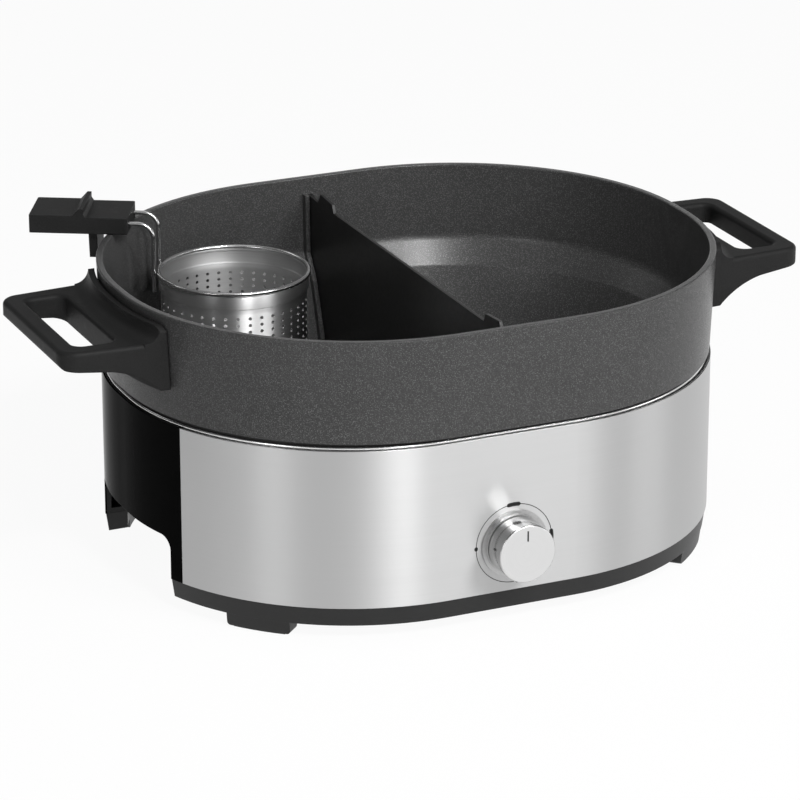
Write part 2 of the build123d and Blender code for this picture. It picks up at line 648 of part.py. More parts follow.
for spot_x, spot_y in corner_spots(COVER_SCREW_INSET, SCREW_ANGLES):
    inner_shell = inner_shell - rod_z(spot_x, spot_y, ring_hole, ledge_z, cover_screw_tip)

# Bottom cover: rounded bowl with a flange, vents and four posts for the tray
bowl_outer = extrude(Pos(0, 0, BOWL_BOTTOM_Z) * RectangleRounded(BOWL_LENGTH, BOWL_WIDTH, BOWL_CORNER),
                     COVER_FLANGE_Z - BOWL_BOTTOM_Z)
bowl_outer = fillet(bowl_outer.faces().sort_by(Axis.Z)[0].edges(), BOWL_ROUND)
bowl_floor_z = BOWL_BOTTOM_Z + BOWL_WALL
bowl_inner_plan = RectangleRounded(BOWL_LENGTH - 2 * BOWL_WALL, BOWL_WIDTH - 2 * BOWL_WALL,
                                   BOWL_CORNER - BOWL_WALL)
bowl_inner = extrude(Pos(0, 0, bowl_floor_z) * bowl_inner_plan, ledge_z - bowl_floor_z)
bowl_inner = fillet(bowl_inner.faces().sort_by(Axis.Z)[0].edges(), BOWL_ROUND - BOWL_WALL)
cover_flange = extrude(base_plan(shell_inner + FIT_GAP, COVER_FLANGE_Z), COVER_FLANGE_HEIGHT)
bottom_cover = bowl_outer + cover_flange - bowl_inner - notch
for post_x in (-POST_X, POST_X):
    for post_y in (-POST_Y, POST_Y):
        bottom_cover = bottom_cover + rod_z(post_x, post_y, POST_RADIUS, bowl_floor_z, TRAY_Z)
vents = []
for index in range(VENT_COUNT):
    vent_x = (index - (VENT_COUNT - 1) / 2) * VENT_PITCH
    vent = Pos(vent_x, 0, BOWL_BOTTOM_Z) * Rot(0, 0, 90) * SlotOverall(VENT_LENGTH, VENT_WIDTH)
    vents.append(extrude(vent, BOWL_WALL))
bottom_cover = bottom_cover - vents
cover_screw_list = []
for spot_x, spot_y in corner_spots(COVER_SCREW_INSET, SCREW_ANGLES):
    bottom_cover = bottom_cover - rod_z(spot_x, spot_y, ring_hole, COVER_FLANGE_Z, ledge_z)
    head = rod_z(spot_x, spot_y, RING_SCREW_HEAD, COVER_FLANGE_Z - COVER_SCREW_HEAD_HEIGHT, COVER_FLANGE_Z)
    shank = rod_z(spot_x, spot_y, RING_SCREW_RADIUS, COVER_FLANGE_Z, cover_screw_tip)
    cover_screw_list.append(head + shank)
cover_screws = Compound([screw.solid() for screw in cover_screw_list])

# Top collar with the lip that the pot sits on, and the bright ring let into it
collar_top = BAND_TOP - SLIDE_GAP
collar_opening = extrude(rim_plan(LEDGE_INNER - SLIDE_GAP, SHELL_TOP_Z), LIP_TOP - SHELL_TOP_Z)
top_collar = extrude(base_plan(shell_outer, SHELL_TOP_Z), collar_top - SHELL_TOP_Z)
top_collar = top_collar + extrude(base_plan(LIP_OUTER, SHELL_TOP_Z), LIP_TOP - SHELL_TOP_Z) - collar_opening
trim_groove = base_ring(TRIM_OUTER - SEAT_GAP, TRIM_OUTER + TRIM_WIDTH + SEAT_GAP, TRIM_LOW_Z, LIP_TOP)
top_collar = top_collar - trim_groove
trim_ring = base_ring(TRIM_OUTER, TRIM_OUTER + TRIM_WIDTH, TRIM_LOW_Z, TRIM_TOP_Z)
trim_ring = fillet(trim_ring.faces().sort_by(Axis.Z)[-1].outer_wire().edges(), TRIM_ROUND)

# Reflector tray, tube heater and the clips under the tube
tube_z = POT_BOTTOM_Z - FIT_GAP - TUBE_RADIUS
tube_half_y = BASE_WIDTH / 2 - TUBE_INSET
tube_half_x = BASE_LENGTH / 2 - TUBE_INSET
tube_corner = BASE_CORNER - TUBE_INSET
reflector_tray = extrude(base_plan(TRAY_INSET, TRAY_Z), TRAY_RIM_Z - TRAY_Z)
reflector_tray = reflector_tray - extrude(base_plan(TRAY_INSET + TRAY_SHEET, TRAY_Z + TRAY_SHEET),
                                          TRAY_RIM_Z - TRAY_Z)
tube_edges = [
    Line((TUBE_END_X, tube_half_y), (RUN_X, tube_half_y)),
    CenterArc((RUN_X, RUN_Y), tube_corner, 90, -90),
    Line((tube_half_x, RUN_Y), (tube_half_x, -RUN_Y)),
    CenterArc((RUN_X, -RUN_Y), tube_corner, 0, -90),
    Line((RUN_X, -tube_half_y), (-RUN_X, -tube_half_y)),
    CenterArc((-RUN_X, -RUN_Y), tube_corner, -90, -90),
    Line((-tube_half_x, -RUN_Y), (-tube_half_x, RUN_Y)),
    CenterArc((-RUN_X, RUN_Y), tube_corner, 180, -90),
    Line((-RUN_X, tube_half_y), (-TUBE_END_X, tube_half_y)),
]
tube_path = Pos(0, 0, tube_z) * Wire([edge.edge() for edge in tube_edges])
tube_plane = Plane(origin=(TUBE_END_X, tube_half_y, tube_z), z_dir=(1, 0, 0))
heating_element = sweep(tube_plane * Circle(TUBE_RADIUS), path=tube_path)
for end_x in (-TUBE_END_X, TUBE_END_X):
    heating_element = heating_element + Pos(end_x, tube_half_y, tube_z) * Sphere(TUBE_RADIUS)
    heating_element = heating_element + rod_z(end_x, tube_half_y, TUBE_RADIUS, TUBE_LEG_Z, tube_z)
    reflector_tray = reflector_tray - rod_z(end_x, tube_half_y, TUBE_RADIUS + LEG_HOLE_GAP,
                                            TRAY_Z, TRAY_Z + TRAY_SHEET)
clip_spots = corner_spots(TUBE_INSET, CLIP_ANGLES) + [(-tube_half_x, 0), (tube_half_x, 0)]
clip_low = TRAY_Z + TRAY_SHEET
clip_high = tube_z - TUBE_RADIUS - RUNNING_GAP
element_clips = Compound([
    bar(x - CLIP_SIZE / 2, x + CLIP_SIZE / 2, y - CLIP_SIZE / 2, y + CLIP_SIZE / 2, clip_low, clip_high)
    for x, y in clip_spots
])

# Temperature control: body with a bush, bracket, screws, spindle
bracket_back = PANEL_Y + shell_inner + SEAT_GAP
bracket_front = bracket_back + BRACKET_SHEET
thermostat_bracket = bar(-BRACKET_HALF, BRACKET_HALF, bracket_back, bracket_front,
                         KNOB_Z - BRACKET_HEIGHT_HALF, KNOB_Z + BRACKET_HEIGHT_HALF)
bush_hole = BUSH_RADIUS + FIT_GAP
thermostat_bracket = thermostat_bracket - rod_y(0, KNOB_Z, bush_hole, bracket_back, bracket_front)
body_front = bracket_front + RUNNING_GAP
body_back = body_front + THERMOSTAT_DEPTH
bush_front = PANEL_Y - BEZEL_HEIGHT
shaft_back = body_back - SHAFT_BACK_WALL
thermostat_body = rod_y(0, KNOB_Z, THERMOSTAT_RADIUS, body_front, body_back)
thermostat_body = thermostat_body + rod_y(0, KNOB_Z, BUSH_RADIUS, bush_front, body_front)
thermostat_body = thermostat_body - rod_y(0, KNOB_Z, SHAFT_RADIUS + RUNNING_GAP, bush_front, shaft_back)
bracket_screw_list = []
for side_x in (-BRACKET_SCREW_X, BRACKET_SCREW_X):
    hole = rod_y(side_x, KNOB_Z, BRACKET_SCREW_RADIUS + RUNNING_GAP, bracket_back, bracket_front)
    thermostat_bracket = thermostat_bracket - hole
    head_top = bracket_front + BRACKET_SCREW_HEAD_HEIGHT
    shank_tip = PANEL_Y + shell_inner - BRACKET_SCREW_REACH
    head = rod_y(side_x, KNOB_Z, BRACKET_SCREW_HEAD, bracket_front, head_top)
    shank = rod_y(side_x, KNOB_Z, BRACKET_SCREW_RADIUS, shank_tip, bracket_front)
    bracket_screw_list.append(head + shank)
bracket_screws = Compound([screw.solid() for screw in bracket_screw_list])

# Knob, spindle and the stepped ring behind the knob
knob_face = PANEL_Y - KNOB_REACH
knob_back = PANEL_Y - KNOB_LIFT
knob_inside = knob_face + KNOB_WALL
shaft_front = knob_face + SHAFT_TOP_GAP
control_knob = rod_y(0, KNOB_Z, KNOB_RADIUS, knob_face, knob_back)
control_knob = fillet(control_knob.faces().sort_by(Axis.Y)[0].edges(), KNOB_BEVEL)
knob_hollow = rod_y(0, KNOB_Z, KNOB_RADIUS - KNOB_WALL, knob_inside, knob_back)
knob_hub = rod_y(0, KNOB_Z, HUB_RADIUS, knob_inside, knob_back)
control_knob = control_knob - (knob_hollow - knob_hub)
control_knob = control_knob - rod_y(0, KNOB_Z, SHAFT_RADIUS + RUNNING_GAP, shaft_front, knob_back)
pointer_groove = bar(-POINTER_WIDTH / 2, POINTER_WIDTH / 2, knob_face, knob_face + POINTER_DEPTH,
                     KNOB_Z + POINTER_LOW, KNOB_Z + POINTER_HIGH)
control_knob = control_knob - pointer_groove
knob_shaft = rod_y(0, KNOB_Z, SHAFT_RADIUS, shaft_front, shaft_back - SEAT_GAP)
bezel_seat = PANEL_Y - RUNNING_GAP
knob_bezel = rod_y(0, KNOB_Z, BEZEL_RADIUS, bezel_seat - BEZEL_STEP_HEIGHT, bezel_seat)
knob_bezel = knob_bezel + rod_y(0, KNOB_Z, BEZEL_RADIUS - BEZEL_STEP, bezel_seat - BEZEL_HEIGHT, bezel_seat)
knob_bezel = knob_bezel - rod_y(0, KNOB_Z, BUSH_RADIUS + FIT_GAP, bezel_seat - BEZEL_HEIGHT, bezel_seat)

# Terminal block, thermal fuse with its strap, cord gland
block_low = bowl_floor_z
block_high = bowl_floor_z + BLOCK_HEIGHT
terminal_block = bar(BLOCK_X - BLOCK_LENGTH / 2, BLOCK_X + BLOCK_LENGTH / 2,
                     BLOCK_Y - BLOCK_WIDTH / 2, BLOCK_Y + BLOCK_WIDTH / 2, block_low, block_high)
well_pitch = BLOCK_LENGTH / BLOCK_WELLS
for index in range(BLOCK_WELLS):
    well_x = BLOCK_X + (index - (BLOCK_WELLS - 1) / 2) * well_pitch
    well = rod_z(well_x, BLOCK_Y, BLOCK_WELL_RADIUS, block_high - BLOCK_WELL_DEPTH, block_high)
    terminal_block = terminal_block - well
fuse_z = TRAY_Z - FUSE_RADIUS - RUNNING_GAP
fuse_across = Pos(FUSE_X, 0, fuse_z) * Rot(0, 90, 0)
thermal_fuse = fuse_across * Cylinder(FUSE_RADIUS, FUSE_LENGTH)
strap_half = FUSE_RADIUS + STRAP_SHEET
strap_low = TRAY_Z - 2 * FUSE_RADIUS - STRAP_SHEET
strap_start = FUSE_X - STRAP_WIDTH / 2
strap_end = FUSE_X + STRAP_WIDTH / 2
tab_half = strap_half + STRAP_TAB
pocket_half = FUSE_RADIUS + RUNNING_GAP
fuse_strap = bar(strap_start, strap_end, -strap_half, strap_half, strap_low, TRAY_Z)
fuse_strap = fuse_strap + bar(strap_start, strap_end, -tab_half, tab_half, TRAY_Z - STRAP_SHEET, TRAY_Z)
fuse_pocket = bar(FUSE_X - STRAP_WIDTH, FUSE_X + STRAP_WIDTH, -pocket_half, pocket_half, fuse_z, TRAY_Z)
fuse_strap = fuse_strap - fuse_pocket - fuse_across * Cylinder(pocket_half, 2 * FUSE_LENGTH)
gland_seat = -PANEL_Y + RUNNING_GAP
gland_front = gland_seat - GLAND_TAIL
gland_back = gland_seat + GLAND_FLANGE_HEIGHT
cord_gland = rod_y(0, GLAND_Z, GLAND_FLANGE, gland_seat, gland_back)
cord_gland = cord_gland + rod_y(0, GLAND_Z, GLAND_NECK, gland_front, gland_seat)
cord_gland = cord_gland - rod_y(0, GLAND_Z, GLAND_BORE, gland_front, gland_back)

# Hanging basket, drawn along its own grip axis and then hung where the grip crosses the rim
cup_low_z = CUP_RIM_Z - CUP_HEIGHT
cup_bead_z = CUP_RIM_Z - CUP_BEAD
cup_step_z = CUP_RIM_Z - CUP_BAND
cup_foot_outer = (CUP_LOW_RADIUS, cup_low_z)
cup_foot_inner = (CUP_LOW_RADIUS - CUP_SHEET, cup_low_z + CUP_SHEET)
cup_outer = [
    (CUP_TOP_RADIUS, cup_bead_z),
    (CUP_TOP_RADIUS, cup_step_z),
    (CUP_LOW_RADIUS, cup_step_z - CUP_BAND_STEP),
    cup_foot_outer,
    (0, cup_low_z),
]
cup_inner = [
    (0, cup_low_z + CUP_SHEET),
    cup_foot_inner,
    (CUP_LOW_RADIUS - CUP_SHEET, cup_step_z - CUP_BAND_STEP),
    (CUP_TOP_RADIUS - CUP_SHEET, cup_step_z),
    (CUP_TOP_RADIUS - CUP_SHEET, cup_bead_z),
]
cup_face = make_face(Polyline(cup_outer + cup_inner, close=True))
cup_face = fillet(near(cup_face.vertices(), cup_foot_outer + (0,)), CUP_FLOOR_ROUND)
cup_face = fillet(near(cup_face.vertices(), cup_foot_inner + (0,)), CUP_FLOOR_ROUND - CUP_SHEET)
cup = revolve(Plane.XZ * cup_face, axis=Axis.Z)
cup = cup + Pos(0, 0, cup_bead_z) * Torus(CUP_TOP_RADIUS, CUP_BEAD)
holes = []
for column in range(HOLE_COLUMNS):
    for row in range(HOLE_ROWS):
        hole_z = CUP_RIM_Z - HOLE_TOP - row * HOLE_PITCH
        turn = Rot(0, 0, 360 * column / HOLE_COLUMNS)
        hole_place = turn * Pos(CUP_LOW_RADIUS, 0, hole_z) * Rot(0, 90, 0)
        holes.append(hole_place * Cylinder(HOLE_RADIUS, CUP_FLOOR_ROUND))
cup = cup - holes
wire_reach = CUP_TOP_RADIUS + CUP_BEAD + WIRE_RADIUS + RUNNING_GAP
wire_start = sqrt(wire_reach ** 2 - WIRE_SPREAD ** 2)
wire_end = GRIP_START + WIRE_IN_GRIP
wires = []
for side in (-WIRE_SPREAD, WIRE_SPREAD):
    wire_points = [(wire_start, side, WIRE_LOW_Z), (wire_start, side, WIRE_Z), (wire_end, side, WIRE_Z)]
    wire_path = FilletPolyline(*wire_points, radius=WIRE_BEND)
    wire_plane = Plane(origin=wire_points[0], z_dir=(0, 0, 1))
    wires.append(sweep(wire_plane * Circle(WIRE_RADIUS), path=wire_path))
grip_line = Polyline([
    (GRIP_START, GRIP_LOW_Z),
    (GRIP_END, GRIP_LOW_Z),
    (GRIP_END, GRIP_LOW_Z + GRIP_OUTER_HEIGHT),
    (GRIP_END - RIB_OUTER_FOOT, GRIP_LOW_Z + GRIP_OUTER_HEIGHT),
    (GRIP_END - RIB_OUTER_TOP, GRIP_LOW_Z + RIB_HEIGHT),
    (GRIP_END - RIB_INNER_TOP, GRIP_LOW_Z + RIB_HEIGHT),
    (GRIP_END - RIB_INNER_TOP, GRIP_LOW_Z + GRIP_INNER_HEIGHT + RIB_FILLET_RISE),
    (GRIP_END - RIB_INNER_FOOT, GRIP_LOW_Z + GRIP_INNER_HEIGHT),
    (GRIP_START, GRIP_LOW_Z + GRIP_INNER_HEIGHT),
], close=True)
grip = extrude(Plane.XZ * make_face(grip_line), GRIP_BREADTH / 2, both=True)
grip_corners = [edge for edge in grip.edges().filter_by(Axis.Z) if edge.length > GRIP_INNER_HEIGHT - FIT_GAP]
grip = fillet(grip_corners, GRIP_EDGE)
tab_face = make_face(Polyline([
    (-TAB_LOW_HALF, TAB_LOW_Z),
    (TAB_LOW_HALF, TAB_LOW_Z),
    (TAB_HALF, GRIP_LOW_Z + GRIP_EDGE),
    (-TAB_HALF, GRIP_LOW_Z + GRIP_EDGE),
], close=True))
tab_plane = Plane(origin=(TAB_START, 0, 0), x_dir=(0, 1, 0), z_dir=(1, 0, 0))
grip = grip + extrude(tab_plane * tab_face, TAB_END - TAB_START)
for side in (-WIRE_SPREAD, WIRE_SPREAD):
    bore = Pos((GRIP_START + wire_end) / 2, side, WIRE_Z) * Rot(0, 90, 0)
    grip = grip - bore * Cylinder(WIRE_RADIUS + RUNNING_GAP, wire_end - GRIP_START)
hang_x = RIM_END - RIM_CORNER + RIM_CORNER * cos(radians(HANG_ANGLE))
hang_y = RIM_SIDE - RIM_CORNER + RIM_CORNER * sin(radians(HANG_ANGLE))
basket_x = HANG_REACH * cos(radians(BASKET_BEARING)) - hang_x
basket_y = hang_y - HANG_REACH * sin(radians(BASKET_BEARING))
basket_place = Pos(basket_x, basket_y, 0) * Rot(0, 0, 180 - BASKET_BEARING)
basket_cup = basket_place * cup
basket_grip = basket_place * grip
basket_wires = basket_place * Compound([wire.solid() for wire in wires])

nodes = {
    "front_ring": front_ring,
    "rear_ring": rear_ring,
    "foot_pads": foot_pads,
    "ring_screws": ring_screws,
    "front_panel": front_panel,
    "rear_panel": rear_panel,
    "left_end_panel": left_end_panel,
    "right_end_panel": right_end_panel,
    "inner_shell": inner_shell,
    "bottom_cover": bottom_cover,
    "cover_screws": cover_screws,
    "top_collar": top_collar,
    "trim_ring": trim_ring,
    "reflector_tray": reflector_tray,
    "heating_element": heating_element,
    "element_clips": element_clips,
    "thermostat_body": thermostat_body,
    "thermostat_bracket": thermostat_bracket,
    "bracket_screws": bracket_screws,
    "terminal_block": terminal_block,
    "thermal_fuse": thermal_fuse,
    "fuse_strap": fuse_strap,
    "cord_gland": cord_gland,
    "knob_bezel": knob_bezel,
    "control_knob": control_knob,
    "knob_shaft": knob_shaft,
    "pot": pot,
    "left_pot_handle": left_pot_handle,
    "right_pot_handle": right_pot_handle,
    "handle_screws": handle_screws,
    "divider_plate": divider_plate,
    "basket_cup": basket_cup,
    "basket_wires": basket_wires,
    "basket_grip": basket_grip,
}
for name, shape in nodes.items():
    export_step(Pos(0, CENTRE_SHIFT_Y, 0) * shape, f"parts/{name}.step")
    print(name, round(shape.volume), "mm3", len(shape.solids()), "solids")
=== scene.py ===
# %% [markdown]
# # An electric hot pot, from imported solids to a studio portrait
# The solids arrive already in place: a cast pot with two handles, a cross wall that lifts out,
# a hanging basket, and a heater base with a steel band and one knob. This lesson dresses them.
# Nothing that came from the solids is moved. Each one gets a finish, and where a solid is too
# plain for the eye, a finer mesh piece stands in for it and rides on the same body.

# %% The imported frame
from math import cos, pi, radians, sin

import bmesh
import bpy
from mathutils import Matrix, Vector


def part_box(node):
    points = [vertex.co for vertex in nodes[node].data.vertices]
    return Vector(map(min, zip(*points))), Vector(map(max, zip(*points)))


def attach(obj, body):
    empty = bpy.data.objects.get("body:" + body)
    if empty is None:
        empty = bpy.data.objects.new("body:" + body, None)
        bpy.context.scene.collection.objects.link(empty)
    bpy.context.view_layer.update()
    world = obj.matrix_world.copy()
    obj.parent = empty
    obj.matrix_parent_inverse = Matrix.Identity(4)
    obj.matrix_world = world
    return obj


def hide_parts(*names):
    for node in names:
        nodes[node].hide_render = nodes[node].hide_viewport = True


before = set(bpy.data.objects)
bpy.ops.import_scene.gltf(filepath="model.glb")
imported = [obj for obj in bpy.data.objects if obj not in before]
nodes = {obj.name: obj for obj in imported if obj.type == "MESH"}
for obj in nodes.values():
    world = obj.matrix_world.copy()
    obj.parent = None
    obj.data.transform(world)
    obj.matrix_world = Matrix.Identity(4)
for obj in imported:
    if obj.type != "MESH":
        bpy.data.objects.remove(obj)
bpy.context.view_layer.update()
MM = 0.001

# %% [markdown]
# ## The camera
# A product picture is taken from far away with a long lens, so that the oval of the rim stays
# calm and the handles don't balloon. The place and the lens below come from fitting the rim, the
# steel band and the foot line to the picture; a nearer camera would bend those three ovals apart.

# %% Camera
LENS = 184.8
CAMERA_PLACE = (-0.9259, -2.0520, 0.9299)
CAMERA_AIM = (0.3825, 0.8546, -0.3513)


def add_object(name, data):
    """Makes an object from its data and puts it in the scene."""
    made = bpy.data.objects.new(name, data)
    bpy.context.scene.collection.objects.link(made)
    return made


def look_along(thing, way):
    """Turns a camera or a lamp to look along a direction."""
    thing.rotation_euler = Vector(way).to_track_quat("-Z", "Y").to_euler()


camera_data = bpy.data.cameras.new("portrait_lens")
camera_data.lens = LENS
camera_data.sensor_width = 36.0
camera_data.clip_end = 60.0
camera = add_object("portrait_camera", camera_data)
camera.location = CAMERA_PLACE
look_along(camera, CAMERA_AIM)
bpy.context.scene.camera = camera
print("camera", [round(v, 3) for v in camera.location], "lens", camera_data.lens)

# %% [markdown]
# ## Shader maths as Python
# Finishes are node graphs, and a graph built one link at a time is hard to read. `Wire` wraps a
# socket, so `1 - mask * 0.4` adds the Math nodes by itself. `Graph.node` adds any other node: its
# settings go on first, then the values or links of its sockets. `Finish` is a material whose
# shader takes constants straight on its own sockets, and links only where something varies.

# %% Wires, graphs and finishes
def feed(tree, socket, value):
    """Links a wire to a socket, or sets a plain value on it."""
    if isinstance(value, Wire):
        tree.links.new(value.socket, socket)
    else:
        socket.default_value = value


class Wire:
    """A node's output that can be used in an expression."""

    def __init__(self, tree, socket):
        self.tree = tree
        self.socket = socket

    def maths(self, operation, first, second):
        made = self.tree.nodes.new("ShaderNodeMath")
        made.operation = operation
        feed(self.tree, made.inputs[0], first)
        feed(self.tree, made.inputs[1], second)
        return Wire(self.tree, made.outputs[0])

    def other(self, output):
        return Wire(self.tree, self.socket.node.outputs[output])

    def __add__(self, value):
        return self.maths("ADD", self, value)

    def __radd__(self, value):
        return self.maths("ADD", value, self)

    def __sub__(self, value):
        return self.maths("SUBTRACT", self, value)

    def __rsub__(self, value):
        return self.maths("SUBTRACT", value, self)

    def __mul__(self, value):
        return self.maths("MULTIPLY", self, value)

    def __pow__(self, value):
        return self.maths("POWER", self, value)

    def __gt__(self, value):
        return self.maths("GREATER_THAN", self, value)


class Graph:
    """A node tree with one way to add any node."""

    def __init__(self, tree):
        self.tree = tree

    def node(self, kind, settings=None, sockets=None, output=0):
        made = self.tree.nodes.new("ShaderNode" + kind)
        for key, value in (settings or {}).items():
            setattr(made, key, value)
        for key, value in (sockets or {}).items():
            feed(self.tree, made.inputs[key], value)
        return Wire(self.tree, made.outputs[output])

    def mix(self, factor, first, second):
        """Blend of two colours."""
        settings = {"data_type": "RGBA"}
        return self.node("Mix", settings, {0: factor, 6: first, 7: second}, 2)

    def ramp(self, value, low, high):
        """0 below low, 1 above high, smooth between."""
        settings = {"interpolation_type": "SMOOTHSTEP"}
        return self.node("MapRange", settings, {"Value": value, "From Min": low, "From Max": high})

    def axes(self, vector):
        """The three parts of a vector."""
        x = self.node("SeparateXYZ", None, {0: vector}, "X")
        return x, x.other("Y"), x.other("Z")


class Finish(Graph):
    """A material and its shader."""

    def __init__(self, name, fixed):
        self.material = bpy.data.materials.new(name)
        self.material.use_nodes = True
        super().__init__(self.material.node_tree)
        self.shader = self.tree.nodes["Principled BSDF"]
        for socket, value in fixed.items():
            self.put(socket, value)
        self.place = self.node("TexCoord", output="Object")

    def put(self, socket, value):
        feed(self.tree, self.shader.inputs[socket], value)

    def stretch(self, x, y, z):
        """The place on the piece, scaled by axis."""
        return self.node("VectorMath", {"operation": "MULTIPLY"}, {0: self.place, 1: (x, y, z)})

    def noise(self, scale, detail=2.0, where=None):
        sockets = {"Vector": where or self.place, "Scale": scale, "Detail": detail}
        return self.node("TexNoise", None, sockets)

    def relief(self, height, strength, depth, edge=0.0):
        """Bump, over a softened edge where one is asked for."""
        sockets = {"Height": height, "Strength": strength, "Distance": depth}
        if edge:
            sockets["Normal"] = self.node("Bevel", {"samples": 6}, {"Radius": edge})
        self.put("Normal", self.node("Bump", None, sockets))


def grey(value):
    return (value, value, value, 1.0)


print("shader helpers ready")

# %% [markdown]
# ## A pale floor
# The object stands on a plain pale floor. To the camera, and in mirror-like reflections, the
# floor reads as white. A small share of it is still lit by the lamps, so it keeps the object's
# shadow and the object doesn't float.

# %% Floor
FLOOR_REACH = 9.0
FLOOR_GLOW_SHARE = 0.94


def seen_as_white(graph):
    """1 for rays that should meet a white background."""
    ray = graph.node("LightPath", output="Is Camera Ray")
    return ray + ray.other("Is Glossy Ray") + ray.other("Is Transmission Ray") > 0.5


corners = [(x * FLOOR_REACH, y * FLOOR_REACH, 0.0) for x, y in ((-1, -1), (1, -1), (1, 1), (-1, 1))]
floor_mesh = bpy.data.meshes.new("studio_floor")
floor_mesh.from_pydata(corners, [], [(0, 1, 2, 3)])
floor = add_object("studio_floor", floor_mesh)
floor_finish = Finish("pale_floor", {"Base Color": grey(0.86), "Roughness": 0.9})
white_card = floor_finish.node("Emission", None, {"Color": grey(1.0), "Strength": 1.0})
lit_floor = Wire(floor_finish.tree, floor_finish.shader.outputs[0])
glow = seen_as_white(floor_finish) * FLOOR_GLOW_SHARE
floor_mix = floor_finish.node("MixShader", None, {0: glow, 1: lit_floor, 2: white_card})
feed(floor_finish.tree, floor_finish.tree.nodes["Material Output"].inputs["Surface"], floor_mix)
floor_mesh.materials.append(floor_finish.material)
print("floor", 2 * FLOOR_REACH, "m wide")

# %% [markdown]
# ## The room
# The room isn't white all round. Its ceiling is dim, and a dark curtain hangs at the back left.
# Without them every black surface would turn grey, since a surface seen at a low angle mirrors
# what lies behind it. The camera itself sees white, and matt surfaces get a weak even light.

# %% Surroundings
AMBIENT = 0.32
CEILING_DIM = 0.80
CURTAIN_DIM = 0.92

world = bpy.data.worlds.new("studio_surroundings")
bpy.context.scene.world = world
world.use_nodes = True
sky = Graph(world.node_tree)
way_x, way_y, way_z = sky.axes(sky.node("TexCoord", output="Generated"))
ceiling = sky.ramp(way_z, 0.06, 0.42)
curtain = sky.ramp(way_y * 0.70 - way_x * 0.71, 0.50, 0.88)
room = (1.0 - ceiling * CEILING_DIM) * (1.0 - curtain * CURTAIN_DIM)
seen = sky.node("LightPath", output="Is Camera Ray")
mirrored = seen.other("Is Glossy Ray") + seen.other("Is Transmission Ray") > 0.5
ambient_strength = seen + (1.0 - seen) * room * (AMBIENT + mirrored * (1.0 - AMBIENT))
background = world.node_tree.nodes["Background"]
feed(world.node_tree, background.inputs["Color"], grey(1.0))
feed(world.node_tree, background.inputs["Strength"], ambient_strength)
print("surroundings:", len(world.node_tree.nodes), "nodes")

# %% [markdown]
# ## Lamps
# The key stands at the front right. A small lamp high in front draws the highlight on the shoulder
# inside the pot. A tall narrow lamp below it draws the upright bright band on the brushed steel,
# because brushing along the band smears every reflection upward and downward. The others are weak
# and only keep the ends from going dark.

# %% Lamps
LAMP_TARGET = (0.0, 0.0, 0.09)
LAMPS = [
    # name, place, width, height, watts
    ("overhead_lamp", (0.1, 0.2, 2.4), 1.6, 1.6, 5.0),
    ("key_lamp", (0.96, -1.68, 1.62), 0.8, 0.8, 27.0),
    ("high_front_lamp", (-0.03, -1.78, 1.88), 0.40, 0.34, 36.0),
    ("front_strip_lamp", (0.07, -2.3, 0.92), 0.40, 1.75, 6.5),
    ("low_right_lamp", (1.9, -0.95, 0.40), 0.8, 0.5, 3.0),
    ("left_lamp", (-2.2, -1.3, 1.0), 0.7, 1.0, 7.0),
    ("back_left_lamp", (-1.2, 1.7, 1.6), 1.0, 1.0, 4.0),
]

for name, place, width, height, watts in LAMPS:
    lamp_data = bpy.data.lights.new(name, "AREA")
    lamp_data.shape = "RECTANGLE"
    lamp_data.size = width
    lamp_data.size_y = height
    lamp_data.energy = watts
    lamp = add_object(name, lamp_data)
    lamp.location = place
    look_along(lamp, Vector(LAMP_TARGET) - Vector(place))
bpy.context.scene.view_settings.view_transform = "Standard"
print("lamps:", len(bpy.data.lights))

# %% [markdown]
# ## Speckled coat on the cast pot
# The pot is cast aluminium with a sprayed coat, charcoal with fine lighter grains. A flat dark
# colour would look like rubber. Here the cells of a Voronoi texture stand for the grains, each with
# its own lightness, noise makes the spray drift a little from place to place, and the same grains
# raise a very fine relief that breaks up the highlights. Outside, the coat is matt; inside it is
# smoother from use and shines on the shoulder. The normal tells the two apart: outside it points
# away from the middle of the pot.

# %% Speckled coat
def speckled_coat():
    matt = {"Specular IOR Level": 0.14, "Coat Roughness": 0.33, "Coat IOR": 1.5}
    coat = Finish("speckled_coat", matt)
    cells = {"Vector": coat.place, "Scale": 1400.0}
    distance = coat.node("TexVoronoi", None, cells, "Distance")
    lightness = coat.axes(distance.other("Color"))[0]
    grain = coat.ramp(0.60 - distance, 0.0, 0.40) * lightness
    spray = coat.noise(34.0, 3.0)
    fine = coat.noise(2600.0, 1.0)
    body = coat.mix(spray, grey(0.030), grey(0.040))
    coat.put("Base Color", coat.mix(grain * 0.9 + fine * 0.2, body, grey(0.125)))
    coat.put("Roughness", 0.24 + fine * 0.10 - grain * 0.06)
    x, y, _ = coat.axes(coat.place)
    normal_x, normal_y, _ = coat.axes(coat.node("NewGeometry", output="Normal"))
    outward = x * normal_x + y * normal_y
    inside = 1.0 - coat.ramp(outward, 0.02, 0.08)
    coat.put("Coat Weight", inside * (0.5 + coat.ramp(grain, 0.05, 0.55) * 0.5))
    coat.relief(grain * 0.7 + fine * 0.3, 0.50, 0.14 * MM, 0.7 * MM)
    return coat.material


def dress(material, *names):
    """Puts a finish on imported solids."""
    for name in names:
        slots = nodes[name].data.materials
        slots.clear()
        slots.append(material)
    print(material.name, "on", ", ".join(names))


dress(speckled_coat(), "pot")

# %% [markdown]
# ## Smooth coat on the cross wall
# The lift-out cross wall has a plainer coat, darker and without grains. A low relief at the
# scale of a sprayed film, and a roughness that wanders, keep it from looking like plastic.

